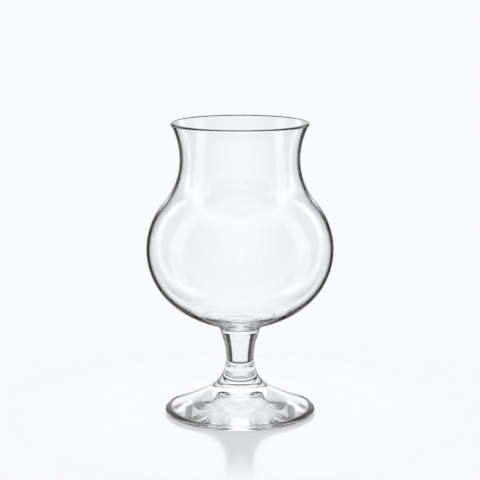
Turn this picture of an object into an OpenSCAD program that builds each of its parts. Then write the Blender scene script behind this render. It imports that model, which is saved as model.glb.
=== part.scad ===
// Hurricane glass with a tulip bowl, a fused collar, a short solid stem and a swept foot.
// Millimetres, +Z up, origin at the centre of the face it stands on.
// Every piece is turned about the Z axis, and each one stands face to face on the piece below it.

/* [Bowl] */
// Outer diameter at the belly, the widest place
belly_d = 99.8; // [90:0.2:112]
// Outer diameter at the neck, the narrowest place above the belly
neck_d = 63.8; // [54:0.2:72]
// How far the rim stands out past the neck, on each side
lip_flare_w = 4.6; // [3:0.1:7]
// Height of the belly above the bottom of the bowl's outer curve
belly_h = 42.2; // [36:0.2:50]
// Height of the neck above the belly
shoulder_h = 48.4; // [40:0.2:58]
// Height of the top of the rim above the neck
lip_h = 19.6; // [15:0.2:26]

/* [Bowl wall] */
// Thickness of the glass at the neck and the rim
lip_wall = 1.7; // [1.2:0.1:2.4]
// Thickness of the glass at the belly
belly_wall = 1.5; // [1.1:0.1:2.2]
// Thickness of the glass at the middle of the bowl's bottom, above the button
bottom_wall = 2.6; // [2:0.1:4]

/* [Button and collar] */
// Diameter of the button under the bowl, where it meets the collar
button_d = 20.4; // [19:0.2:24]
// Height of the button below the bowl's outer curve
button_h = 2.2; // [1.4:0.1:3.4]
// Radius of the fillet between the button and the bowl
fillet_r = 7; // [5:0.5:9]
// Height of the collar that joins the bowl to the stem
collar_h = 2.7; // [2:0.1:4]
// How far the collar's edge swells past a straight side
swell_w = 0.2; // [0.1:0.05:0.4]

/* [Stem] */
// Length of the stem between the foot and the collar
stem_h = 25; // [20:0.5:34]
// Diameter of the stem under the collar
stem_top_d = 19; // [16:0.2:20]
// Diameter of the stem at its waist
waist_d = 14.8; // [12:0.2:16]
// Height of the waist above the foot
waist_h = 12.4; // [10:0.2:15]
// Radius of the flare below the waist, which runs on into the foot
flare_r = 19.2; // [16:0.2:24]

/* [Foot] */
// Diameter of the foot
foot_d = 80.6; // [68:0.2:96]
// Height of the foot where the stem stands on it
foot_h = 16.8; // [14:0.1:20]
// Radius of the rounded edge of the foot
edge_r = 1.3; // [1:0.1:1.8]
// Width of the flat ring that the glass stands on
ring_w = 2.6; // [1.5:0.1:5]
// Height of the hollow under the foot at its middle
hollow_h = 8.6; // [5:0.1:10]
// Radius of the dome in the middle of the hollow
dome_r = 40; // [34:0.5:46]

/* [Hidden] */
$fn = 240;

// Share of the curve between neck and belly that belongs to the belly's arc
belly_arc_share = 0.516;
// Radius of the arc under the belly, as a share of the belly's height
under_arc_share = 0.905;
// Radius of the foot's wide sweep, as a share of the foot's radius
sweep_arc_share = 3.3;
// Radius of the arc between the hollow's dome and its ring, as a share of the foot's radius
hollow_arc_share = 3.15;
// How far the wedge that cuts a sector reaches, as a share of the sector's radius
wedge_reach_share = 3;
// How far a cut runs past what it opens
overrun_h = 2;

// Heights of the joints, from the table up
stem_z = foot_h;
collar_z = stem_z + stem_h;
bowl_z = collar_z + collar_h;

belly_r = belly_d / 2;
neck_r = neck_d / 2;
button_r = button_d / 2;
stem_top_r = stem_top_d / 2;
waist_r = waist_d / 2;
foot_r = foot_d / 2;

// A point at a distance and an angle from another
function polar(c, r, a) = [c[0] + r * cos(a), c[1] + r * sin(a)];
// The direction from one point to another
function heading(from, to) = atan2(to[1] - from[1], to[0] - from[0]);
// Radius of an arc that starts upright, rises by h and moves sideways by s
function arc_radius(h, s) = (h * h + s * s) / (2 * s);
// The angle between sides a and b of a triangle whose third side is c
function corner(a, b, c) = acos((a * a + b * b - c * c) / (2 * a * b));
// Radius of a sphere round the axis that touches an arc of radius r from outside, the arc's middle
// being x from the axis and h above the sphere's lowest point
function bottom_radius(x, r, h) = (x * x + h * h - r * r) / (2 * (h - r));

// Heights of the bowl's outline are above the face where its button meets the collar
belly_z = button_h + belly_h;
neck_z = belly_z + shoulder_h;
// Radii of the outer arcs above and under the belly
over_r = belly_arc_share * arc_radius(shoulder_h, belly_r - neck_r);
under_r = under_arc_share * belly_h;
// A sphere round a point of the axis closes the bowl's outside, and touches the arc under the belly
bottom_r = bottom_radius(belly_r - under_r, under_r, belly_h);
bottom_c = [0, button_h + bottom_r];

// The lip is a band of even thickness that bends outwards from the neck to its rounded rim
rim_c = [neck_r + lip_flare_w - lip_wall / 2, neck_z + lip_h - lip_wall / 2];
lip_r = arc_radius(rim_c[1] - neck_z, lip_flare_w);
lip_c = [neck_r - lip_wall / 2 + lip_r, neck_z];
lip_end = polar(lip_c, lip_r + lip_wall / 2, heading(lip_c, rim_c));

// The fillet of the button touches the bottom sphere and ends at the button's lower edge
button_edge = [button_r, 0];
fillet_turn = corner(norm(bottom_c - button_edge), fillet_r, bottom_r + fillet_r);
fillet_c = polar(button_edge, fillet_r, heading(button_edge, bottom_c) - fillet_turn);

// Heights of the stem and the foot are above the table
waist = [waist_r, stem_z + waist_h];
stem_top = [stem_top_r, collar_z];
// One arc runs from the waist up to the collar
upper_r = arc_radius(stem_h - waist_h, stem_top_r - waist_r);
upper_c = [waist_r + upper_r, waist[1]];
// The flare below the waist is parted by the joint between the stem and the foot
flare_c = [waist_r + flare_r, waist[1]];
joint_turn = 180 + asin(waist_h / flare_r);
flare_joint = polar(flare_c, flare_r, joint_turn);
// The foot's wide sweep touches the flare above it and the rounded edge below it
edge_c = [foot_r - edge_r, edge_r];
sweep_r = sweep_arc_share * foot_r;
sweep_turn = heading(flare_c, edge_c) + corner(norm(edge_c - flare_c), sweep_r - flare_r, sweep_r + edge_r);
sweep_c = polar(flare_c, sweep_r - flare_r, sweep_turn);
flare_end_turn = 180 + sweep_turn;
sweep_end_turn = 360 + heading(sweep_c, edge_c);
// The hollow under the foot is a dome whose side bends outwards to the ring
ring_edge = [foot_r - edge_r - ring_w, 0];
dome_c = [0, hollow_h - dome_r];
side_r = hollow_arc_share * foot_r;
side_turn = heading(ring_edge, dome_c) - corner(norm(dome_c - ring_edge), side_r, side_r + dome_r);
side_c = polar(ring_edge, side_r, side_turn);
dome_touch = polar(dome_c, dome_r, heading(dome_c, side_c));

// A slice of a disc between two directions
module sector(c, r, from, to) {
    reach = r * wedge_reach_share;
    intersection() {
        translate(c) circle(r);
        polygon([c, polar(c, reach, from), polar(c, reach, (from + to) / 2), polar(c, reach, to)]);
    }
}

// Section of everything inside one face of the bowl's wall, from the axis out to that face
// neck_x and face_x are the face's radii at the neck and the belly, over_a and under_a its belly arcs
// lowest_z is where the face crosses the axis, and lip_a is the radius of its lip
module bowl_fill(neck_x, face_x, over_a, under_a, lowest_z, lip_a) {
    over_c = [face_x - over_a, belly_z];
    under_c = [face_x - under_a, belly_z];
    sphere_a = bottom_radius(under_c[0], under_a, belly_z - lowest_z);
    sphere_c = [0, lowest_z + sphere_a];
    touch_turn = heading(sphere_c, under_c);
    shoulder_a = arc_radius(shoulder_h, face_x - neck_x) - over_a;
    shoulder_c = [neck_x + shoulder_a, neck_z];
    shoulder_turn = heading(over_c, shoulder_c);
    lip_turn = heading(lip_c, rim_c);
    difference() {
        union() {
            polygon([
                [0, lowest_z],
                [face_x, belly_z],
                polar(over_c, over_a, shoulder_turn),
                [neck_x, neck_z],
                polar(lip_c, lip_a, lip_turn),
                lip_end,
                [0, lip_end[1]]
            ]);
            sector(sphere_c, sphere_a, -90, touch_turn);
            sector(under_c, under_a, -90, 0);
            sector(over_c, over_a, 0, shoulder_turn);
        }
        sector(shoulder_c, shoulder_a, 180, 180 + shoulder_turn);
        sector(lip_c, lip_a, lip_turn, 180);
    }
}

// Button under the bowl's outer curve, with its fillet
module bowl_button() {
    touch = polar(bottom_c, bottom_r, heading(bottom_c, fillet_c));
    difference() {
        polygon([[0, 0], button_edge, touch, [0, button_h + bottom_wall]]);
        sector(fillet_c, fillet_r, heading(fillet_c, bottom_c), heading(fillet_c, button_edge));
    }
}

module bowl() {
    color("aliceblue")
    translate([0, 0, bowl_z])
    rotate_extrude() {
        difference() {
            union() {
                bowl_fill(neck_r, belly_r, over_r, under_r, button_h, lip_r - lip_wall / 2);
                bowl_button();
            }
            bowl_fill(
                neck_r - lip_wall,
                belly_r - belly_wall,
                over_r - belly_wall,
                under_r - belly_wall,
                button_h + bottom_wall,
                lip_r + lip_wall / 2
            );
            translate([0, lip_end[1] - overrun_h]) square([neck_r - lip_wall, 2 * overrun_h]);
        }
        translate(rim_c) circle(lip_wall / 2);
    }
}

// Wafer of glass between the bowl's button and the stem, with a slightly swollen edge
module collar() {
    side = [button_r - stem_top_r, collar_h];
    swell_r = arc_radius(norm(side) / 2, swell_w);
    middle = [(button_r + stem_top_r) / 2, collar_h / 2];
    swell_c = polar(middle, swell_w - swell_r, heading([0, 0], side) - 90);
    color("lightsteelblue")
    translate([0, 0, collar_z])
    rotate_extrude()
    intersection() {
        union() {
            square([swell_c[0], collar_h]);
            translate(swell_c) circle(swell_r);
        }
        square([button_r + swell_w, collar_h]);
    }
}

module stem() {
    color("aliceblue")
    rotate_extrude()
    difference() {
        polygon([[0, stem_z], flare_joint, waist, stem_top, [0, collar_z]]);
        sector(flare_c, flare_r, 180, joint_turn);
        sector(upper_c, upper_r, heading(upper_c, stem_top), 180);
    }
}

// Section of the air under the foot: a dome in the middle, and a side that bends outwards to the ring
module foot_hollow() {
    translate(dome_c) circle(dome_r);
    difference() {
        polygon([dome_c, ring_edge, dome_touch]);
        sector(side_c, side_r, heading(side_c, dome_touch), heading(side_c, ring_edge));
    }
}

module foot() {
    color("aliceblue")
    rotate_extrude()
    difference() {
        union() {
            polygon([
                [0, 0],
                [edge_c[0], 0],
                edge_c,
                polar(sweep_c, sweep_r, sweep_end_turn),
                polar(flare_c, flare_r, flare_end_turn),
                flare_joint,
                [0, stem_z]
            ]);
            translate(edge_c) circle(edge_r);
        }
        sector(flare_c, flare_r, joint_turn, flare_end_turn);
        sector(sweep_c, sweep_r, flare_end_turn, sweep_end_turn);
        foot_hollow();
    }
}

bowl();
collar();
stem();
foot();
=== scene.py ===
# %% [markdown]
# A hurricane glass is four pieces of clear glass, fused end to end while they are hot: a blown bowl, a
# small collar, a solid stem and a pressed foot. All four are round about one upright axis, so a lathe
# is the natural way to make them. The frame brings in the plain solids at their real size. Every piece
# made here takes the place of one of them, and never leaves its box.

# %% The frame and the sizes it gives
from math import acos, atan2, ceil, cos, hypot, pi, radians, sin

import bmesh
import bpy
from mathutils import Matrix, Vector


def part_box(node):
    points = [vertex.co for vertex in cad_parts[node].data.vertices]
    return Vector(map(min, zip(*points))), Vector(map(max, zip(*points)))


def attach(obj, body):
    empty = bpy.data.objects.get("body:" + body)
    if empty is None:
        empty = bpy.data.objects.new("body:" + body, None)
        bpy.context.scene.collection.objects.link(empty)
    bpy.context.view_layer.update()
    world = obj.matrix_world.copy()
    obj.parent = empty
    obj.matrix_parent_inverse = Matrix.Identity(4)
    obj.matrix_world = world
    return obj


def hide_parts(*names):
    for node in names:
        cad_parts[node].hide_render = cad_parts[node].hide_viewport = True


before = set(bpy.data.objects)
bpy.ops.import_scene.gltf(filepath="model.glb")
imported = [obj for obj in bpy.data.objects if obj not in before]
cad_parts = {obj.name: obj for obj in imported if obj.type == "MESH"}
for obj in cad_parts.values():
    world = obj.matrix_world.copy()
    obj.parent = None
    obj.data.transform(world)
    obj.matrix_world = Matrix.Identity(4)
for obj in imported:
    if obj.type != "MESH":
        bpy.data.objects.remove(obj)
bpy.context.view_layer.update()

mm = 0.001

foot_r, foot_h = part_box("foot")[1].x / mm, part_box("foot")[1].z / mm
stem_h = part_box("stem")[1].z / mm - foot_h
collar_z = foot_h + stem_h
bowl_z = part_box("collar")[1].z / mm
belly_r, top_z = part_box("bowl")[1].x / mm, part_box("bowl")[1].z / mm
foot_joint_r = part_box("stem")[1].x / mm
print(f"the glass is {top_z:.1f} mm high and {2 * belly_r:.1f} across the belly")
print(f"the foot is {2 * foot_r:.1f} mm across")

# %% [markdown]
# The photograph gives the other sizes, in millimetres: where the outline is narrowest, how thick the
# wall is, and how tight its curves are. Round glass is drawn well by arcs that run into each other
# without a kink, because that is how a soft gather of glass settles. Only the ends and radii of the
# arcs are sizes here, some of the radii as a share of another size. Where two arcs meet is worked out.

# %% Sizes of the bowl, the stem and the foot
neck_r, lip_flare_w = 31.9, 4.6
belly_h, shoulder_h = 42.2, 48.4
lip_wall, belly_wall, bottom_wall = 1.7, 1.5, 2.6
button_r, button_h, fillet_r = 10.2, 2.2, 7.0
belly_arc_share, under_arc_share = 0.516, 0.905

stem_top_r, swell_w = 9.5, 0.2
waist_r, waist_h, flare_r = 7.4, 12.4, 19.2
edge_r, ring_w, hollow_h, dome_r = 1.3, 2.6, 8.6, 40.0
sweep_arc_share, hollow_arc_share = 3.3, 3.15

belly_z = bowl_z + button_h + belly_h
neck_z = belly_z + shoulder_h
print(f"belly at {belly_z:.1f} mm, neck at {neck_z:.1f} mm")

# %% [markdown]
# Every outline is a chain of arcs, so the script needs a little plane geometry: a point at a distance
# and a direction, the direction between two points, and the third corner of a triangle. An arc is
# drawn as points close enough for its facets not to show, a millimetre apart at most.

# %% Small helpers for points, directions and arcs
def polar(centre, radius, turn):
    """The point at a distance and a direction, in degrees, from another."""
    return (centre[0] + radius * cos(radians(turn)), centre[1] + radius * sin(radians(turn)))


def heading(start, end):
    """The direction from one point to another, in degrees."""
    return atan2(end[1] - start[1], end[0] - start[0]) * 180 / pi


def gap(start, end):
    """The distance between two points."""
    return hypot(end[0] - start[0], end[1] - start[1])


def arc_radius(height, shift):
    """Radius of an arc that sets off upright, climbs by the height and moves sideways by the shift."""
    return (height * height + shift * shift) / (2 * shift)


def corner(a, b, c):
    """The angle between sides a and b of a triangle whose third side is c, in degrees."""
    return acos((a * a + b * b - c * c) / (2 * a * b)) * 180 / pi


ring_step = 1.0
turn_step = 9.0


def arc(centre, radius, start, end):
    """Points along an arc, a millimetre apart or nine degrees, whichever is closer."""
    sweep = end - start
    steps = ceil(max(abs(radians(sweep)) * radius / ring_step, abs(sweep) / turn_step))
    return [polar(centre, radius, start + sweep * i / steps) for i in range(steps + 1)]


def points_of(arcs):
    """The points of a chain of arcs. A point where two arcs meet comes only once."""
    points = []
    for piece in arcs:
        points += arc(*piece)[1 if points else 0:]
    return points


# %% [markdown]
# The bowl has two faces, outside and inside, with the wall between them. Both are the same chain of
# arcs with other radii: a shallow bottom, the round below the belly, the round above it, the hollow
# of the neck and the outward bend of the lip. One function gives the chain, and the bowl joins the
# two chains with the round edge of the rim.

# %% The outline of the bowl
rim = (neck_r + lip_flare_w - lip_wall / 2, top_z - lip_wall / 2)
lip_r = arc_radius(rim[1] - neck_z, lip_flare_w)
lip_centre = (neck_r - lip_wall / 2 + lip_r, neck_z)
over_r = belly_arc_share * arc_radius(shoulder_h, belly_r - neck_r)
under_r = under_arc_share * belly_h


def bowl_face(neck_depth, belly_depth, lowest_z, lip_radius):
    """One face of the bowl's wall, from its lowest point up to the lip, as a list of arcs."""
    neck_x, face_x = neck_r - neck_depth, belly_r - belly_depth
    over, under = over_r - belly_depth, under_r - belly_depth
    over_centre, under_centre = (face_x - over, belly_z), (face_x - under, belly_z)
    depth = belly_z - lowest_z
    sphere = (under_centre[0] ** 2 + depth**2 - under**2) / (2 * (depth - under))
    sphere_centre = (0.0, lowest_z + sphere)
    shoulder = arc_radius(shoulder_h, face_x - neck_x) - over
    shoulder_centre = (neck_x + shoulder, neck_z)
    touch = heading(sphere_centre, under_centre)
    turn = heading(over_centre, shoulder_centre)
    return [
        (sphere_centre, sphere, -90.0, touch),
        (under_centre, under, touch, 0.0),
        (over_centre, over, 0.0, turn),
        (shoulder_centre, shoulder, 180 + turn, 180.0),
        (lip_centre, lip_radius, 180.0, heading(lip_centre, rim)),
    ]


def bowl_outline():
    """The bowl from the middle of its joint, out and up to the rim, and down the inside to the axis."""
    outside = bowl_face(0.0, 0.0, bowl_z + button_h, lip_r - lip_wall / 2)
    inside = bowl_face(lip_wall, belly_wall, bowl_z + button_h + bottom_wall, lip_r + lip_wall / 2)
    bottom_centre, bottom_r, _, touch = outside[0]
    edge = (button_r, bowl_z)
    fillet_turn = corner(gap(bottom_centre, edge), fillet_r, bottom_r + fillet_r)
    fillet_centre = polar(edge, fillet_r, heading(edge, bottom_centre) - fillet_turn)
    meet = heading(bottom_centre, fillet_centre)
    fillet = (fillet_centre, fillet_r, heading(fillet_centre, edge) % 360, meet + 180)
    outside[0] = (bottom_centre, bottom_r, meet, touch)
    bend = heading(lip_centre, rim)
    shell = points_of([fillet, *outside])
    rounded = arc(rim, lip_wall / 2, bend - 180, bend)
    return [(0.0, bowl_z), *shell, *rounded[1:-1], *points_of(inside)[::-1]]


bowl_points = bowl_outline()
print(f"the bowl's outline has {len(bowl_points)} points, and its wall is {belly_wall} mm at the belly")

# %% [markdown]
# The stem is narrowest at its waist. Above the waist one arc opens it up to the collar, and below it
# a tighter arc flares out and runs on into the foot, so the two pieces read as one sweep. The collar
# is the wafer of glass that was hot last: its edge swells a little where it was squeezed.

# %% The outlines of the collar, the stem and the foot
waist = (waist_r, foot_h + waist_h)
stem_top = (stem_top_r, collar_z)
upper_r = arc_radius(stem_h - waist_h, stem_top_r - waist_r)
upper_centre = (waist_r + upper_r, waist[1])
flare_centre = (waist_r + flare_r, waist[1])
joint_turn = heading(flare_centre, (foot_joint_r, foot_h)) + 360

edge_centre = (foot_r - edge_r, edge_r)
sweep_r = sweep_arc_share * foot_r
edge_gap = gap(flare_centre, edge_centre)
sweep_turn = heading(flare_centre, edge_centre) + corner(edge_gap, sweep_r - flare_r, sweep_r + edge_r)
sweep_centre = polar(flare_centre, sweep_r - flare_r, sweep_turn)

ring_edge = (foot_r - edge_r - ring_w, 0.0)
dome_centre = (0.0, hollow_h - dome_r)
side_r = hollow_arc_share * foot_r
side_turn = heading(ring_edge, dome_centre) - corner(gap(dome_centre, ring_edge), side_r, side_r + dome_r)
side_centre = polar(ring_edge, side_r, side_turn)
dome_touch = heading(dome_centre, side_centre)


def collar_outline():
    """The collar from its lower face to its upper one, with the slight swell of its edge."""
    low, high = (stem_top_r, collar_z), (button_r, bowl_z)
    swell_r = arc_radius(gap(low, high) / 2, swell_w)
    middle = ((low[0] + high[0]) / 2, (low[1] + high[1]) / 2)
    centre = polar(middle, swell_w - swell_r, heading(low, high) - 90)
    edge = arc(centre, swell_r, heading(centre, low), heading(centre, high))
    return [(0.0, collar_z), *edge, (0.0, bowl_z)]


def stem_outline():
    """The stem from its joint with the foot, in to the waist and out to the collar."""
    arcs = [
        (flare_centre, flare_r, joint_turn, 180.0),
        (upper_centre, upper_r, 180.0, heading(upper_centre, stem_top)),
    ]
    return [(0.0, foot_h), *points_of(arcs), (0.0, collar_z)]


def foot_outline():
    """The foot from the middle of its hollow, out round the edge and up the sweep to the stem."""
    arcs = [
        (dome_centre, dome_r, 90.0, dome_touch),
        (side_centre, side_r, dome_touch - 180, heading(side_centre, ring_edge)),
        (edge_centre, edge_r, -90.0, heading(edge_centre, sweep_centre)),
        (sweep_centre, sweep_r, heading(sweep_centre, edge_centre) + 360, 180 + sweep_turn),
        (flare_centre, flare_r, 180 + sweep_turn, joint_turn),
    ]
    return [*points_of(arcs[:2]), *points_of(arcs[2:]), (0.0, foot_h)]


outlines = {"bowl": bowl_points, "collar": collar_outline(), "stem": stem_outline(), "foot": foot_outline()}
for name, points in outlines.items():
    print(f"{name}: {len(points)} points, out to {max(p[0] for p in points):.2f} mm")

# %% [markdown]
# Blender could turn these outlines with the Screw modifier or with bmesh's spin. A Geometry Nodes tree
# does the same and stays a rule that can be read. Trees are easier to build in a script with a few
# helpers: one sets a node down, one links sockets, and one makes a sum whose inputs are sockets or
# plain numbers. The shaders further down use the same helpers.

# %% Small helpers for node trees
def add(tree, kind, place, **values):
    """A node of a kind, set down in the tree. Values name either its settings or its input sockets."""
    node = tree.nodes.new(kind)
    node.location = place
    for key, value in values.items():
        if hasattr(node, key):
            setattr(node, key, value)
        else:
            node.inputs[key].default_value = value
    return node


def join(tree, *pairs):
    """Links between sockets, each pair from an output to an input."""
    for start, end in pairs:
        tree.links.new(start, end)


def plug(tree, socket, value):
    """Gives an input socket a link, if the value is an output socket, or else the plain value."""
    if hasattr(value, "is_output"):
        tree.links.new(value, socket)
    else:
        socket.default_value = value


def math_node(tree, operation, place, first, second=None):
    """A sum of two values, or a function of one. Gives its result."""
    node = add(tree, "ShaderNodeMath", place, operation=operation)
    plug(tree, node.inputs[0], first)
    if second is not None:
        plug(tree, node.inputs[1], second)
    return node.outputs[0]


# %% [markdown]
# The tree's inputs are its controls: how many segments a turn has, where its two joints lie and which
# materials it gets. The shape starts as a grid, one side as long as the outline and the other as long
# as a turn. Each grid point looks up its outline point by its row, and its angle by its column.

# %% The lathe: its inputs, and a grid laid round the axis
controls = {
    "Outline": "NodeSocketGeometry",
    "Segments": "NodeSocketInt",
    "Weld": "NodeSocketFloat",
    "Sharp angle": "NodeSocketFloat",
    "Lower joint": "NodeSocketFloat",
    "Upper joint": "NodeSocketFloat",
    "Glass": "NodeSocketMaterial",
    "Lower joint glass": "NodeSocketMaterial",
    "Upper joint glass": "NodeSocketMaterial",
}


def row_and_turn(tree, start):
    """Counts for each grid point which outline point it is, and how far round the axis it lies."""
    columns = math_node(tree, "ADD", (-1200, -100), start["Segments"], 1)
    index = add(tree, "GeometryNodeInputIndex", (-1200, -300)).outputs[0]
    row = math_node(tree, "FLOOR", (-800, -200), math_node(tree, "DIVIDE", (-1000, -200), index, columns))
    step = math_node(tree, "MODULO", (-1000, -400), index, columns)
    share = math_node(tree, "DIVIDE", (-800, -400), step, start["Segments"])
    return columns, row, math_node(tree, "MULTIPLY", (-600, -400), share, 2 * pi)


def turned_grid(tree, start):
    """A grid whose rows are the outline's points, each carried once round the axis."""
    columns, row, turn = row_and_turn(tree, start)
    size = add(tree, "GeometryNodeAttributeDomainSize", (-1200, 200), component="MESH")
    grid = add(tree, "GeometryNodeMeshGrid", (-1000, 200))
    place = add(tree, "GeometryNodeInputPosition", (-1000, 0))
    sample = add(tree, "GeometryNodeSampleIndex", (-600, 0), data_type="FLOAT_VECTOR", domain="POINT")
    parts = add(tree, "ShaderNodeSeparateXYZ", (-400, 0))
    spot = add(tree, "ShaderNodeCombineXYZ", (0, -100))
    turned = add(tree, "GeometryNodeSetPosition", (200, 200))
    radius = parts.outputs["X"]
    x = math_node(tree, "MULTIPLY", (-200, 0), radius, math_node(tree, "COSINE", (-400, -300), turn))
    y = math_node(tree, "MULTIPLY", (-200, -200), radius, math_node(tree, "SINE", (-400, -450), turn))
    join(
        tree,
        (start["Outline"], size.inputs[0]),
        (size.outputs["Point Count"], grid.inputs["Vertices X"]),
        (columns, grid.inputs["Vertices Y"]),
        (start["Outline"], sample.inputs[0]),
        (place.outputs[0], sample.inputs["Value"]),
        (row, sample.inputs["Index"]),
        (sample.outputs[0], parts.inputs[0]),
        (x, spot.inputs["X"]),
        (y, spot.inputs["Y"]),
        (parts.outputs["Z"], spot.inputs["Z"]),
        (grid.outputs["Mesh"], turned.inputs["Geometry"]),
        (spot.outputs[0], turned.inputs["Position"]),
    )
    return turned.outputs[0]


print("the lathe has the controls", ", ".join(controls))

# %% [markdown]
# The seam and the poles are then welded, the faces turned outwards, and edges sharper than a set angle
# kept crisp under the smooth shading. The flat faces at the two joints get materials of their own, so
# that the light can run from one piece into the next. The tree ends in Realize Instances and Set
# Material, which makes its result plain faces with their finish on.

# %% The lathe: welding, crisp edges and materials
def welded_skin(tree, start, grid):
    """The turned grid as a closed, smooth skin with crisp corners."""
    merge = add(tree, "GeometryNodeMergeByDistance", (400, 200))
    outward = add(tree, "GeometryNodeFlipFaces", (500, 200))
    smooth = add(tree, "GeometryNodeSetShadeSmooth", (600, 200))
    edge = add(tree, "GeometryNodeInputMeshEdgeAngle", (400, -100))
    sharp = add(tree, "FunctionNodeCompare", (600, -100), data_type="FLOAT", operation="GREATER_THAN")
    crisp = add(tree, "GeometryNodeStoreNamedAttribute", (800, 200), data_type="BOOLEAN", domain="EDGE")
    crisp.inputs["Name"].default_value = "sharp_edge"
    join(
        tree,
        (grid, merge.inputs["Geometry"]),
        (start["Weld"], merge.inputs["Distance"]),
        (merge.outputs[0], outward.inputs["Mesh"]),
        (outward.outputs[0], smooth.inputs["Geometry"]),
        (edge.outputs["Unsigned Angle"], sharp.inputs["A"]),
        (start["Sharp angle"], sharp.inputs["B"]),
        (smooth.outputs[0], crisp.inputs["Geometry"]),
        (sharp.outputs[0], crisp.inputs["Value"]),
    )
    return crisp.outputs[0]


joint_slack = 0.01 * mm


def at_height(tree, place, height):
    """Which faces lie flat at a height, within a hundredth of a millimetre."""
    parts = add(tree, "ShaderNodeSeparateXYZ", place)
    join(tree, (add(tree, "GeometryNodeInputPosition", place).outputs[0], parts.inputs[0]))
    level = add(tree, "ShaderNodeMath", place, operation="COMPARE")
    level.inputs[2].default_value = joint_slack
    join(tree, (parts.outputs["Z"], level.inputs[0]), (height, level.inputs[1]))
    return level.outputs[0]


def lathe_tree():
    """Turns an outline, drawn in X and Z as points in order, about the Z axis."""
    tree = bpy.data.node_groups.new("lathe", "GeometryNodeTree")
    for name, kind in controls.items():
        tree.interface.new_socket(name=name, in_out="INPUT", socket_type=kind)
    tree.interface.new_socket(name="Piece", in_out="OUTPUT", socket_type="NodeSocketGeometry")
    start = add(tree, "NodeGroupInput", (-1400, 0)).outputs
    real = add(tree, "GeometryNodeRealizeInstances", (1000, 200))
    join(tree, (welded_skin(tree, start, turned_grid(tree, start)), real.inputs[0]))
    body = add(tree, "GeometryNodeSetMaterial", (1200, 200))
    lower = add(tree, "GeometryNodeSetMaterial", (1400, 200))
    upper = add(tree, "GeometryNodeSetMaterial", (1600, 200))
    end = add(tree, "NodeGroupOutput", (1800, 200)).inputs
    join(
        tree,
        (real.outputs[0], body.inputs["Geometry"]),
        (start["Glass"], body.inputs["Material"]),
        (body.outputs[0], lower.inputs["Geometry"]),
        (at_height(tree, (1200, -200), start["Lower joint"]), lower.inputs["Selection"]),
        (start["Lower joint glass"], lower.inputs["Material"]),
        (lower.outputs[0], upper.inputs["Geometry"]),
        (at_height(tree, (1400, -200), start["Upper joint"]), upper.inputs["Selection"]),
        (start["Upper joint glass"], upper.inputs["Material"]),
        (upper.outputs[0], end[0]),
    )
    return tree


lathe = lathe_tree()
print(f"the lathe tree has {len(lathe.nodes)} nodes")

# %% [markdown]
# Blown and pressed glass is never quite even. The hot glass is drawn upwards as it is blown, so the bowl
# has faint upright waves. The foot is pressed while it spins, so it has faint rings. Fine streaks of
# slightly denser glass, called cords, run through every piece. Each of these is a shader group with
# named inputs, built once and placed in each glass with its own sizes, in metres.

# %% Shader groups for the skin of the glass
def shader_group(name, numbers, result, kind="NodeSocketFloat"):
    """A new shader group with number inputs and one output. Gives the tree and the sockets at its ends."""
    tree = bpy.data.node_groups.new(name, "ShaderNodeTree")
    for key, value in numbers.items():
        socket = tree.interface.new_socket(name=key, in_out="INPUT", socket_type="NodeSocketFloat")
        socket.default_value = value
    tree.interface.new_socket(name=result, in_out="OUTPUT", socket_type=kind)
    start = add(tree, "NodeGroupInput", (-1200, 0)).outputs
    end = add(tree, "NodeGroupOutput", (600, 0)).inputs
    return tree, start, end


def drawn_place(tree, size, stretch):
    """Object coordinates counted in waves, with each wave longer upwards by the stretch."""
    place = add(tree, "ShaderNodeTexCoord", (-1200, 300)).outputs["Object"]
    parts = add(tree, "ShaderNodeSeparateXYZ", (-1000, 300))
    drawn = add(tree, "ShaderNodeCombineXYZ", (-600, 300))
    tall = math_node(tree, "MULTIPLY", (-1000, 0), size, stretch)
    join(tree, (place, parts.inputs[0]))
    for axis, length in (("X", size), ("Y", size), ("Z", tall)):
        join(tree, (math_node(tree, "DIVIDE", (-800, 300), parts.outputs[axis], length), drawn.inputs[axis]))
    return drawn.outputs[0]


def waves_group():
    """The faint upright waves of drawn glass, as a height."""
    tree, start, end = shader_group("drawn waves", {"Size": 0.01, "Stretch": 3.0}, "Height")
    noise = add(tree, "ShaderNodeTexNoise", (-300, 0), Detail=1.0)
    place = drawn_place(tree, start["Size"], start["Stretch"])
    join(tree, (place, noise.inputs["Vector"]), (noise.outputs[0], end["Height"]))
    return tree


def rings_group():
    """The faint rings that pressing and spinning leave, as a height."""
    tree, start, end = shader_group("pressed rings", {"Spacing": 0.003}, "Height")
    place = add(tree, "ShaderNodeTexCoord", (-1200, 300)).outputs["Object"]
    flat = add(tree, "ShaderNodeVectorMath", (-1000, 300), operation="MULTIPLY")
    flat.inputs[1].default_value = (1, 1, 0)
    radius = add(tree, "ShaderNodeVectorMath", (-800, 300), operation="LENGTH")
    noise = add(tree, "ShaderNodeTexNoise", (-300, 0), noise_dimensions="1D", Detail=2.0)
    join(tree, (place, flat.inputs[0]), (flat.outputs[0], radius.inputs[0]))
    count = math_node(tree, "DIVIDE", (-600, 300), radius.outputs["Value"], start["Spacing"])
    join(tree, (count, noise.inputs["W"]), (noise.outputs[0], end["Height"]))
    return tree


clear = (0.995, 0.998, 1.0, 1)
denser = (0.965, 0.975, 0.98, 1)
streak_from, streak_to = 0.45, 0.75


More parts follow.
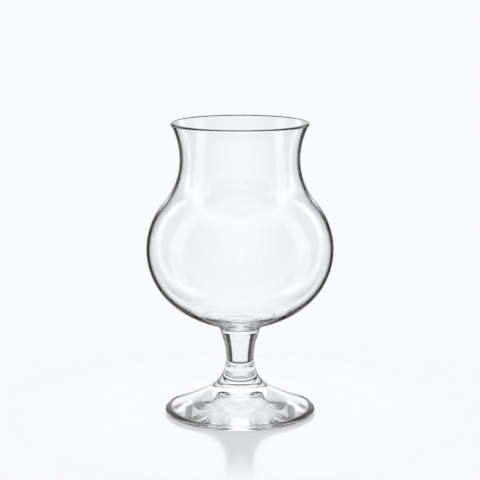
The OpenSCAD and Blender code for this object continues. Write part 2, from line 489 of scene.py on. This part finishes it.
def cords_group():
    """Streaks of denser glass, as the colour that the light takes on."""
    tree, start, end = shader_group("cords", {"Size": 0.004, "Stretch": 8.0}, "Color", "NodeSocketColor")
    noise = add(tree, "ShaderNodeTexNoise", (-300, 0), Detail=3.0)
    streak = add(tree, "ShaderNodeMapRange", (-100, 0))
    streak.inputs["From Min"].default_value = streak_from
    streak.inputs["From Max"].default_value = streak_to
    shade = add(tree, "ShaderNodeMix", (200, 0), data_type="RGBA")
    shade.inputs["A"].default_value = clear
    shade.inputs["B"].default_value = denser
    join(
        tree,
        (drawn_place(tree, start["Size"], start["Stretch"]), noise.inputs["Vector"]),
        (noise.outputs[0], streak.inputs["Value"]),
        (streak.outputs[0], shade.inputs["Factor"]),
        (shade.outputs["Result"], end["Color"]),
    )
    return tree


def wear_group():
    """Scuffs where the glass stands on its ring, as a roughness."""
    sizes = {"Height": 0.0001, "Grain": 0.0008, "Worn": 0.4}
    tree, start, end = shader_group("standing wear", sizes, "Roughness")
    place = add(tree, "ShaderNodeTexCoord", (-1200, 300)).outputs["Object"]
    parts = add(tree, "ShaderNodeSeparateXYZ", (-1000, 300))
    low = math_node(tree, "LESS_THAN", (-700, 300), parts.outputs["Z"], start["Height"])
    size = math_node(tree, "DIVIDE", (-900, 0), 1.0, start["Grain"])
    noise = add(tree, "ShaderNodeTexNoise", (-600, 0), Detail=4.0)
    scuffs = math_node(tree, "MULTIPLY", (-300, 0), noise.outputs[0], start["Worn"])
    join(
        tree,
        (place, parts.inputs[0]),
        (place, noise.inputs["Vector"]),
        (size, noise.inputs["Scale"]),
        (math_node(tree, "MULTIPLY", (0, 0), scuffs, low), end["Roughness"]),
    )
    return tree


waves, rings, cords, wear = waves_group(), rings_group(), cords_group(), wear_group()
print("shader groups:", [group.name for group in (waves, rings, cords, wear)])

# %% [markdown]
# Glass has no colour of its own to speak of. What shows is what bends through it and what it mirrors, so
# the shader is a plain transmitting one at the index of soda-lime glass, and its detail comes from the
# groups. The bump is a hundredth of a millimetre deep or so: enough to break up the long reflections.
#
# Light leaves the blown wall with a hair of blur. The rim, which a flame has rounded, and the three solid
# pieces have none. The blur is too small to see, but it marks the light: the studio can ask whether a ray
# is still perfectly sharp, and so tell thin walls from solid glass.

# %% The glass of each piece
def placed(tree, group, place, **sizes):
    """A shader group set down in a material, with sizes for its inputs."""
    node = add(tree, "ShaderNodeGroup", place, node_tree=group)
    for key, value in sizes.items():
        node.inputs[key].default_value = value
    return node.outputs[0]


glass_index = 1.52
blown_blur = 0.03


def blown_roughness(tree):
    """A hair of blur for light that leaves the blown wall, but none in the fire-polished rim."""
    leaving = add(tree, "ShaderNodeNewGeometry", (-1000, 0)).outputs["Backfacing"]
    place = add(tree, "ShaderNodeTexCoord", (-1200, -200)).outputs["Object"]
    parts = add(tree, "ShaderNodeSeparateXYZ", (-1000, -200))
    join(tree, (place, parts.inputs[0]))
    below_rim = math_node(tree, "LESS_THAN", (-800, -200), parts.outputs["Z"], (top_z - lip_wall) * mm)
    wall = math_node(tree, "MULTIPLY", (-600, -100), leaving, below_rim)
    return math_node(tree, "MULTIPLY", (-400, 0), wall, blown_blur)


def glass(name, skin, depth, blown=False, worn=False):
    """Clear glass. The skin is a group and its sizes, and the depth is how far its waves rise."""
    material = bpy.data.materials.new(name)
    material.use_nodes = True
    tree = material.node_tree
    tree.nodes.clear()
    shader = add(tree, "ShaderNodeBsdfPrincipled", (0, 0))
    shader.inputs["Roughness"].default_value = 0
    shader.inputs["IOR"].default_value = glass_index
    shader.inputs["Transmission Weight"].default_value = 1
    bump = add(tree, "ShaderNodeBump", (-200, -300), Distance=depth)
    end = add(tree, "ShaderNodeOutputMaterial", (300, 0))
    group, sizes = skin
    join(
        tree,
        (placed(tree, cords, (-400, 200)), shader.inputs["Base Color"]),
        (placed(tree, group, (-400, -300), **sizes), bump.inputs["Height"]),
        (bump.outputs[0], shader.inputs["Normal"]),
        (shader.outputs[0], end.inputs["Surface"]),
    )
    if blown:
        join(tree, (blown_roughness(tree), shader.inputs["Roughness"]))
    if worn:
        join(tree, (placed(tree, wear, (-400, 0)), shader.inputs["Roughness"]))
    return material


materials = {
    "bowl": glass("blown glass", (waves, {"Size": 0.012, "Stretch": 4.0}), depth=0.012 * mm, blown=True),
    "collar": glass("collar glass", (waves, {"Size": 0.004, "Stretch": 0.5}), depth=0.004 * mm),
    "stem": glass("stem glass", (waves, {"Size": 0.006, "Stretch": 3.0}), depth=0.006 * mm),
    "foot": glass("foot glass", (rings, {"Spacing": 0.004}), depth=0.004 * mm, worn=True),
}
print("glass materials:", [material.name for material in materials.values()])

# %% [markdown]
# Where two pieces are fused the glass runs on unbroken, and the faces between them let everything pass.
# Only the very edge of a joint shows, as a fine grey line, because the skins of the two pieces never
# melt into each other completely. The line is a ring at the joint's own radius.

# %% The fused joints
def weld_group():
    """The fine line round a joint, as an alpha."""
    tree, start, end = shader_group("weld line", {"Radius": 0.01, "Width": 0.0005, "Shade": 0.5}, "Alpha")
    place = add(tree, "ShaderNodeTexCoord", (-1200, 300)).outputs["Object"]
    flat = add(tree, "ShaderNodeVectorMath", (-1000, 300), operation="MULTIPLY")
    flat.inputs[1].default_value = (1, 1, 0)
    radius = add(tree, "ShaderNodeVectorMath", (-800, 300), operation="LENGTH")
    join(tree, (place, flat.inputs[0]), (flat.outputs[0], radius.inputs[0]))
    from_edge = math_node(tree, "SUBTRACT", (-600, 300), start["Radius"], radius.outputs["Value"])
    share = math_node(tree, "DIVIDE", (-400, 300), from_edge, start["Width"])
    fade = math_node(tree, "SUBTRACT", (-200, 300), 1.0, math_node(tree, "MINIMUM", (-300, 300), share, 1.0))
    join(tree, (math_node(tree, "MULTIPLY", (200, 0), fade, start["Shade"]), end["Alpha"]))
    return tree


line_grey = (0.08, 0.08, 0.08, 1)
line_roughness = 0.6
line_width = 0.6


def fused_joint(name, radius, shade):
    """The face between two fused pieces: clear but for the line at its edge."""
    material = bpy.data.materials.new(name)
    material.use_nodes = True
    tree = material.node_tree
    shader = tree.nodes["Principled BSDF"]
    shader.inputs["Base Color"].default_value = line_grey
    shader.inputs["Roughness"].default_value = line_roughness
    line = placed(tree, weld, (-300, 0), Radius=radius * mm, Width=line_width * mm, Shade=shade)
    join(tree, (line, shader.inputs["Alpha"]))
    return material


weld = weld_group()
joint_glass = {
    "foot": fused_joint("foot joint", foot_joint_r, shade=0.2),
    "stem": fused_joint("stem joint", stem_top_r, shade=0.6),
    "bowl": fused_joint("bowl joint", button_r, shade=0.6),
}
print("joints:", {name: len(material.node_tree.nodes) for name, material in joint_glass.items()})

# %% [markdown]
# Each outline goes in as a bare string of points, with the lathe as its modifier. The modifier's values
# are set by each input's identifier before the piece is first worked out. The result is copied to a
# plain mesh and the modifier taken off, so that what is handed on is an ordinary closed mesh at its
# real place. The volume, the sign of which tells outside from inside, is a good test of a lathe.

# %% Turning one piece
weld_gap = 0.002 * mm
sharp_angle = radians(35)


def set_lathe(modifier, settings):
    """Sets the lathe's inputs by name, through their identifiers."""
    for item in lathe.interface.items_tree:
        if settings.get(item.name) is not None:
            modifier[item.identifier] = settings[item.name]


def baked(piece, name):
    """The worked-out shape as a plain mesh, without the empty material slot of the bare outline."""
    turned = piece.evaluated_get(bpy.context.evaluated_depsgraph_get())
    mesh = bpy.data.meshes.new_from_object(turned)
    mesh.name = name
    if mesh.materials[0] is None:
        mesh.materials.pop(index=0)
    return mesh


def volume_and_gaps(mesh):
    """The volume in cubic millimetres, positive when the faces point outwards, and the open edges."""
    shape = bmesh.new()
    shape.from_mesh(mesh)
    volume = shape.calc_volume(signed=True) / mm**3
    gaps = sum(not edge.is_manifold for edge in shape.edges)
    shape.free()
    return volume, gaps


def turn_piece(name, points, ends, turns):
    """Runs an outline through the lathe, and gives a plain closed mesh in a named object."""
    outline = bpy.data.meshes.new(name)
    outline.from_pydata([(r * mm, 0, z * mm) for r, z in points], [], [])
    piece = bpy.data.objects.new(f"glass_{name}", outline)
    bpy.context.scene.collection.objects.link(piece)
    modifier = piece.modifiers.new("lathe", "NODES")
    modifier.node_group = lathe
    settings = {"Segments": turns, "Weld": weld_gap, "Sharp angle": sharp_angle, "Glass": materials[name]}
    for end, (height, joint) in zip(("Lower joint", "Upper joint"), ends):
        settings[end] = height * mm
        settings[f"{end} glass"] = joint
    set_lathe(modifier, settings)
    mesh = baked(piece, name)
    piece.modifiers.clear()
    piece.data = mesh
    volume, gaps = volume_and_gaps(mesh)
    at_joint = sum(face.material_index > 0 for face in mesh.polygons)
    print(f"{name}: {len(mesh.polygons)} faces, of which {at_joint} lie in its joints")
    print(f"{name}: {volume:.0f} cubic millimetres, {gaps} open edges")
    return piece


# %% [markdown]
# Every piece says what it takes the place of and which body it moves with. The table also names a finish
# of the part for each piece, but nothing here puts that finish on. A turn has more segments where the piece
# is wide, and where the light passes many edges. The bowl has no joint above it and the foot none below, so
# that end is set at a height where nothing lies.

# %% The four pieces
nowhere = -1.0
open_end = (nowhere, None)
foot_end = (foot_h, joint_glass["foot"])
stem_end = (collar_z, joint_glass["stem"])
bowl_end = (bowl_z, joint_glass["bowl"])
segments = {"bowl": 216, "collar": 144, "stem": 192, "foot": 240}
pieces = {
    "bowl": ((bowl_end, open_end), "blown_glass"),
    "collar": ((stem_end, bowl_end), "stem_glass"),
    "stem": ((foot_end, stem_end), "stem_glass"),
    "foot": ((open_end, foot_end), "foot_glass"),
}
for name, (ends, slot) in pieces.items():
    piece = turn_piece(name, outlines[name], ends, segments[name])
    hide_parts(name)
    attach(piece, "root")

# %% [markdown]
# The glass stands on a wide white board. The board is one flat face, big enough to run past the edges of
# every picture, also in a low view.

# %% The board under the glass
reach = 30.0
corners = [(-reach, -reach, 0), (reach, -reach, 0), (reach, reach, 0), (-reach, reach, 0)]
board_mesh = bpy.data.meshes.new("board")
board_mesh.from_pydata(corners, [], [(0, 1, 2, 3)])
board = bpy.data.objects.new("board", board_mesh)
bpy.context.scene.collection.objects.link(board)
print(f"the board is {2 * reach:.0f} m wide")

# %% [markdown]
# Even a smooth white board has a faint grain: tiny dimples in its coat, under a shade that drifts very
# slightly. Both are noises, of different sizes, in one more group. It counts in Object coordinates, which
# are metres here, so the dimples keep their real size of under a millimetre.

# %% The board's grain
def grain_group():
    """Fine dimples under a wide, faint cloud, as a height."""
    tree, start, end = shader_group("board grain", {"Dimple": 0.0008, "Cloud": 0.12}, "Height")
    place = add(tree, "ShaderNodeTexCoord", (-1200, 300)).outputs["Object"]
    fine = add(tree, "ShaderNodeTexNoise", (-600, 200), Detail=2.0)
    wide = add(tree, "ShaderNodeTexNoise", (-600, -100), Detail=1.0)
    join(
        tree,
        (place, fine.inputs["Vector"]),
        (place, wide.inputs["Vector"]),
        (math_node(tree, "DIVIDE", (-900, 200), 1.0, start["Dimple"]), fine.inputs["Scale"]),
        (math_node(tree, "DIVIDE", (-900, -100), 1.0, start["Cloud"]), wide.inputs["Scale"]),
        (math_node(tree, "MULTIPLY", (-300, 0), fine.outputs[0], wide.outputs[0]), end["Height"]),
    )
    return tree


grain = grain_group()
print(f"the group '{grain.name}' has {len(grain.nodes)} nodes")

# %% [markdown]
# Under the grain the board is matt white, with a thin sheen on top. The sheen shows the studio's bright
# front panel at a low angle, and where the stem and the foot stand in its way there is a soft grey band:
# the blurred mirror image that tells the eye that the glass touches the board. The sheen's colour is
# about one over the panel's strength, so that away from the glass the board stays evenly white. The
# band fades out a hand's breadth in front of the foot.

# %% The board's two coats
panel = 8.0
coat_index = 2.2
coat_blur = 0.12
coat_lift = 1.06
coat_shade = coat_lift / panel
dimple_depth = 0.002 * mm
band_full, band_gone = 0.072, 0.127
board_white, board_shade = (1.0, 1.0, 1.0, 1), (0.985, 0.985, 0.988, 1)


def from_centre(tree):
    """How far a spot on the board lies from the glass."""
    distance = add(tree, "ShaderNodeVectorMath", (-1200, -200), operation="LENGTH")
    join(tree, (add(tree, "ShaderNodeTexCoord", (-1400, -200)).outputs["Object"], distance.inputs[0]))
    return distance.outputs["Value"]


def matt_coat(tree, relief, height):
    """Matt white with the grain in its colour and its relief."""
    tint = add(tree, "ShaderNodeMix", (-600, 200), data_type="RGBA")
    tint.inputs["A"].default_value = board_white
    tint.inputs["B"].default_value = board_shade
    matt = add(tree, "ShaderNodeBsdfPrincipled", (-300, 200), Roughness=1.0)
    matt.inputs["Specular IOR Level"].default_value = 0
    join(
        tree,
        (height, tint.inputs["Factor"]),
        (tint.outputs["Result"], matt.inputs["Base Color"]),
        (relief, matt.inputs["Normal"]),
    )
    return matt.outputs[0]


def sheen_coat(tree, relief):
    """The thin mirror on top, dimmed by as much as the panel is bright."""
    gloss = add(tree, "ShaderNodeBsdfGlossy", (-300, -200), Roughness=coat_blur)
    gloss.inputs["Color"].default_value = (coat_shade, coat_shade, coat_shade, 1)
    join(tree, (relief, gloss.inputs["Normal"]))
    return gloss.outputs[0]


def sheen_share(tree, distance, seen_directly):
    """How much of the sheen shows: more at a low angle, and fading away from the glass."""
    fresnel = add(tree, "ShaderNodeFresnel", (-600, 500), IOR=coat_index)
    near = add(tree, "ShaderNodeMapRange", (-800, 500))
    near.inputs["From Min"].default_value = band_gone
    near.inputs["From Max"].default_value = band_full
    join(tree, (distance, near.inputs["Value"]))
    direct = math_node(tree, "MULTIPLY", (-400, 500), near.outputs[0], seen_directly)
    return math_node(tree, "MULTIPLY", (-200, 500), fresnel.outputs[0], direct)


print(f"the sheen is full to {band_full / mm:.0f} mm and gone at {band_gone / mm:.0f} mm")

# %% [markdown]
# Over an endless white board the foot would come out nearly white, because light that is bent or
# mirrored in it meets the board. Past the edge of a small table it meets the studio instead, dark parts
# and all. So the board stays white to the eye everywhere, and beyond such an edge it lets mirrored rays,
# and rays that came through one solid piece, go on to the studio. The Light Path node tells these rays
# apart. It counts in whole numbers, so each limit lies halfway between two of them. Two skins are the
# way into one piece and the way out of it.

# %% The finished board
table_edge = 0.06
none_to_one, two_to_three = 0.5, 2.5


def looks_past(tree, path, distance):
    """One for rays that came by way of the glass and meet the board beyond the table's edge."""
    mirrored = math_node(tree, "GREATER_THAN", (-1000, 100), path["Glossy Depth"], none_to_one)
    entered = math_node(tree, "GREATER_THAN", (-1000, 0), path["Transmission Depth"], none_to_one)
    one_piece = math_node(tree, "LESS_THAN", (-1000, -100), path["Transmission Depth"], two_to_three)
    through = math_node(tree, "MULTIPLY", (-800, 0), entered, one_piece)
    by_glass = math_node(tree, "MAXIMUM", (-600, 0), mirrored, through)
    beyond = math_node(tree, "GREATER_THAN", (-1000, -300), distance, table_edge)
    not_lighting = math_node(tree, "LESS_THAN", (-1000, 300), path["Diffuse Depth"], none_to_one)
    outside = math_node(tree, "MULTIPLY", (-400, 0), by_glass, beyond)
    return math_node(tree, "MULTIPLY", (-200, 0), outside, not_lighting)


def board_material():
    """The white board with both coats."""
    material = bpy.data.materials.new("white board")
    material.use_nodes = True
    tree = material.node_tree
    tree.nodes.clear()
    path = add(tree, "ShaderNodeLightPath", (-1400, 200)).outputs
    distance = from_centre(tree)
    height = placed(tree, grain, (-1000, -500))
    bump = add(tree, "ShaderNodeBump", (-800, -500), Distance=dimple_depth)
    relief = bump.outputs[0]
    coats = add(tree, "ShaderNodeMixShader", (0, 0))
    way_on = add(tree, "ShaderNodeBsdfTransparent", (0, -200))
    seen = add(tree, "ShaderNodeMixShader", (200, 0))
    end = add(tree, "ShaderNodeOutputMaterial", (400, 0))
    join(
        tree,
        (height, bump.inputs["Height"]),
        (sheen_share(tree, distance, path["Is Camera Ray"]), coats.inputs[0]),
        (matt_coat(tree, relief, height), coats.inputs[1]),
        (sheen_coat(tree, relief), coats.inputs[2]),
        (looks_past(tree, path, distance), seen.inputs[0]),
        (coats.outputs[0], seen.inputs[1]),
        (way_on.outputs[0], seen.inputs[2]),
        (seen.outputs[0], end.inputs["Surface"]),
    )
    return material


board_mesh.materials.append(board_material())
print(f"the table's edge lies {table_edge / mm:.0f} mm out")

# %% [markdown]
# Clear glass is drawn by what stands round it. The studio here is a white room with dark stretches in
# it, and the dark ones give the outlines. A wall is described by its brightness at angles from straight
# ahead, 0, to straight behind the camera, 180, the same to the left and the right. Rays mirrored on the
# outside of the glass meet one pair of walls, above and below the table's height. Rays mirrored inside
# a solid piece meet a second pair with harder contrast, which gives the foot and the stem their depth.

# %% The walls of the studio
beside = (
    (30, 0.2), (35, 0.8), (39, 1.35), (45, 1.9), (52, 2.1), (56, 1.3), (60, 0.85), (68, 0.95),
    (73, 0.8), (83, 0.75), (87, 1.25), (104, 1.2), (109, 0.95), (125, 1.1), (150, 1.4), (180, 1.6),
)
outside_above = ((0, 1.0), (18, 1.0), (24, 0.05), (26, 0.2), *beside)
outside_below = ((0, 0.1), (9, 0.3), (13, 0.0), (26, 0.0), *beside)
inside_above = (
    (0, 1.0), (10, 1.2), (17, 1.2), (20, 0.0), (50, 0.0), (54, 0.3), (78, 0.3),
    (84, 1.2), (104, 1.2), (107, 0.1), (150, 0.3), (180, 0.6),
)
inside_below = (
    (0, 0.9), (6, 0.85), (12, 0.3), (16, 0.05), (20, 0.0), (82, 0.0),
    (84, 1.0), (104, 1.0), (107, 0.1), (180, 0.3),
)
table_line = (-0.03, 0.05)
for wall in (outside_above, outside_below, inside_above, inside_below):
    print(f"a wall of {len(wall)} stops, up to {max(level for _, level in wall)} bright")

# %% [markdown]
# A few helpers read the walls in a node tree. A colour ramp holds one wall. A blend mixes two values by
# a share. A rise climbs smoothly from none to one between two values, and is used for every soft edge.
# The last helper turns a ray's direction into the angles that the walls are counted in.

# %% Helpers for the studio's light
half_turn, quarter_turn = 180, 90
anywhere = 0.5


def wall_light(tree, place, side, stops):
    """A wall's brightness by the share of half a turn from straight ahead."""
    # a ramp comes with two stops: the others are added anywhere, and then all are moved to their places
    ramp = add(tree, "ShaderNodeValToRGB", place)
    while len(ramp.color_ramp.elements) < len(stops):
        ramp.color_ramp.elements.new(anywhere)
    for element, (off_centre, level) in zip(ramp.color_ramp.elements, stops):
        element.position = off_centre / half_turn
        element.color = (level, level, level, 1)
    join(tree, (side, ramp.inputs[0]))
    return ramp.outputs[0]


def blend(tree, place, share, first, second):
    """A value that goes from the first to the second with the share."""
    node = add(tree, "ShaderNodeMix", place, data_type="FLOAT")
    for socket, value in (("Factor", share), ("A", first), ("B", second)):
        plug(tree, node.inputs[socket], value)
    return node.outputs[0]


def rise(tree, place, value, start, end):
    """Goes from none at the start to one at the end, which may lie below the start."""
    node = add(tree, "ShaderNodeMapRange", place, interpolation_type="SMOOTHSTEP")
    node.inputs["From Min"].default_value = start
    node.inputs["From Max"].default_value = end
    join(tree, (value, node.inputs["Value"]))
    return node.outputs[0]


def directions(tree):
    """For a ray: the share of half a turn from straight ahead, the rise, and the rise without its sign."""
    way = add(tree, "ShaderNodeTexCoord", (-1400, 0)).outputs["Generated"]
    parts = add(tree, "ShaderNodeSeparateXYZ", (-1200, 0))
    join(tree, (way, parts.inputs[0]))
    turn = math_node(tree, "ARCTAN2", (-1000, 0), parts.outputs["X"], parts.outputs["Y"])
    side = math_node(tree, "DIVIDE", (-700, 0), math_node(tree, "ABSOLUTE", (-850, 0), turn), pi)
    return side, parts.outputs["Z"], math_node(tree, "ABSOLUTE", (-1000, 200), parts.outputs["Z"])


print("helpers: wall_light, blend, rise, directions")

# %% [markdown]
# Steep rays meet the ceiling or look down past the table, so the walls give way to them. Light that goes
# straight through the glass has a rule of its own. In every quarter turn round the glass stand two dark
# flags, with a narrow, dim gap between them. They darken only light that is still sharp, and such light
# also finds it dark steeply up or down. That draws the two dark bars of the stem, with a light line in
# each, and the fine dark line along the back of the mouth, and leaves the thin walls of the bowl clear.

# %% Light by the way it takes
overhead = 1.4
inside_high, inside_deep = 1.2, 0.3
steep_from, steep_to = 0.6, 0.9
through_solid, through_bowl = 0.93, 1.0
flag_middle, flag_half, flag_edge = 45, 20, 3
gap_half, gap_light = 7, 0.2
low_from, low_to = 0.42, 0.3


def mirrored_light(tree, side, upward, slope, inside):
    """The walls and the ceiling, as mirrored on the outside or on the inside of the glass."""
    above_table = rise(tree, (-500, 300), upward, *table_line)
    steep = rise(tree, (-500, 500), slope, steep_from, steep_to)
    low = wall_light(tree, (-500, 100), side, outside_below)
    high = wall_light(tree, (-500, -100), side, outside_above)
    outer = blend(tree, (0, 300), steep, blend(tree, (-200, 300), above_table, low, high), overhead)
    low = wall_light(tree, (-500, -300), side, inside_below)
    high = wall_light(tree, (-500, -500), side, inside_above)
    walls = blend(tree, (-200, -300), above_table, low, high)
    beyond_walls = blend(tree, (-200, -500), above_table, inside_deep, inside_high)
    return blend(tree, (200, 0), inside, outer, blend(tree, (0, -300), steep, walls, beyond_walls))


def flags(tree, side):
    """Two dark flags in every quarter turn, with a narrow gap between them."""
    degrees_off = math_node(tree, "MULTIPLY", (-650, -800), side, half_turn)
    quarter = math_node(tree, "MODULO", (-500, -800), degrees_off, quarter_turn)
    off = math_node(tree, "SUBTRACT", (-350, -800), quarter, flag_middle)
    off = math_node(tree, "ABSOLUTE", (-200, -800), off)
    past_flags = rise(tree, (0, -800), off, flag_half - flag_edge, flag_half + flag_edge)
    in_gap = rise(tree, (0, -1000), off, gap_half + flag_edge, gap_half - flag_edge)
    in_gap = math_node(tree, "MULTIPLY", (150, -1000), in_gap, gap_light)
    return math_node(tree, "MAXIMUM", (300, -900), past_flags, in_gap)


def straight_light(tree, side, slope, solid, sharp):
    """The light that comes through the glass without being mirrored. Only sharp rays see the flags."""
    level_way = rise(tree, (0, -1200), slope, low_from, low_to)
    past = math_node(tree, "MULTIPLY", (400, -900), flags(tree, side), level_way)
    seen = blend(tree, (500, -900), sharp, 1.0, past)
    ahead = math_node(tree, "MULTIPLY", (600, -900), seen, through_solid)
    return blend(tree, (700, -800), solid, through_bowl, ahead)


print(f"straight light: {through_solid} through one piece, {through_bowl} through more than two skins")

# %% [markdown]
# The whole studio is one world shader, because a light that looks different to each kind of ray can only
# be made there. The camera itself sees plain white paper. The Light Path node counts how often a ray was
# mirrored, passed a skin of glass or met something matt, and each answer is laid over the one before.
# Only a ray that the board's blurred sheen has mirrored, before it met any glass, sees the bright panel.

# %% The studio
paper = (0.947, 0.956, 0.973, 1)
board_light, glass_loss = 1.0, 0.05


def light_on_board(tree, passed):
    """What lights the board: a little less where glass stands in the way."""
    behind_glass = math_node(tree, "MINIMUM", (300, 500), passed, 1.0)
    shade = math_node(tree, "MULTIPLY", (400, 500), behind_glass, glass_loss)
    return math_node(tree, "SUBTRACT", (500, 500), board_light, shade)


def studio():
    """Soft light from all round, with dark stretches for the outlines."""
    world = bpy.data.worlds.new("studio")
    bpy.context.scene.world = world
    world.use_nodes = True
    world.cycles.sampling_method = "NONE"
    tree = world.node_tree
    tree.nodes.clear()
    path = add(tree, "ShaderNodeLightPath", (-1400, 700)).outputs
    passed, matt = path["Transmission Depth"], path["Diffuse Depth"]
    side, upward, slope = directions(tree)
    glossy = math_node(tree, "GREATER_THAN", (-300, 700), path["Glossy Depth"], none_to_one)
    entered = math_node(tree, "GREATER_THAN", (-300, 900), passed, none_to_one)
    solid = math_node(tree, "LESS_THAN", (-300, 1100), passed, two_to_three)
    inside = math_node(tree, "MULTIPLY", (-100, 900), entered, solid)
    mirrored = mirrored_light(tree, side, upward, slope, inside)
    straight = straight_light(tree, side, slope, solid, path["Is Singular Ray"])
    level = blend(tree, (500, 0), glossy, straight, mirrored)
    after_matt = math_node(tree, "GREATER_THAN", (300, 700), matt, none_to_one)
    level = blend(tree, (700, 0), after_matt, level, light_on_board(tree, passed))
    sharp_or_matt = math_node(tree, "ADD", (300, 1100), path["Is Singular Ray"], matt)
    rough = math_node(tree, "LESS_THAN", (400, 1100), sharp_or_matt, none_to_one)
    bare = math_node(tree, "SUBTRACT", (500, 900), 1.0, entered)
    in_sheen = math_node(tree, "MULTIPLY", (500, 1100), bare, rough)
    in_sheen = math_node(tree, "MULTIPLY", (600, 900), in_sheen, glossy)
    level = blend(tree, (800, 0), in_sheen, level, panel)
    back = add(tree, "ShaderNodeBackground", (1200, 0))
    back.inputs["Color"].default_value = paper
    end = add(tree, "ShaderNodeOutputWorld", (1400, 0))
    join(
        tree,
        (blend(tree, (1000, 0), path["Is Camera Ray"], level, 1.0), back.inputs["Strength"]),
        (back.outputs[0], end.inputs["Surface"]),
    )
    return world


studio_world = studio()
print(f"the studio's shader has {len(studio_world.node_tree.nodes)} nodes")

# %% [markdown]
# The camera stands nearly a metre away and looks down by some ten degrees, which is read from how round
# the mouth and the foot appear. The long lens keeps the glass free of distortion. Light needs many
# bounces to find its way through a foot that is solid glass, and sharp caustics keep the board white.

# %% The camera
camera_height, camera_away, camera_pitch = 0.2613, 0.900, 10.54
camera_data = bpy.data.cameras.new("camera")
camera_data.lens, camera_data.sensor_width = 128.85, 36.0
camera_data.clip_end = 200.0
camera = bpy.data.objects.new("camera", camera_data)
bpy.context.scene.collection.objects.link(camera)
camera.location = (0, -camera_away, camera_height)
camera.rotation_euler = (radians(90 - camera_pitch), 0, 0)
bpy.context.scene.camera = camera
bpy.context.scene.view_settings.view_transform = "Standard"
cycles = bpy.context.scene.cycles
cycles.max_bounces, cycles.glossy_bounces, cycles.transmission_bounces = 32, 16, 24
cycles.diffuse_bounces, cycles.transparent_max_bounces = 4, 24
cycles.caustics_reflective, cycles.caustics_refractive, cycles.blur_glossy = True, True, 0.0
print(f"the camera looks down by {camera_pitch} degrees from {camera_away} m away")
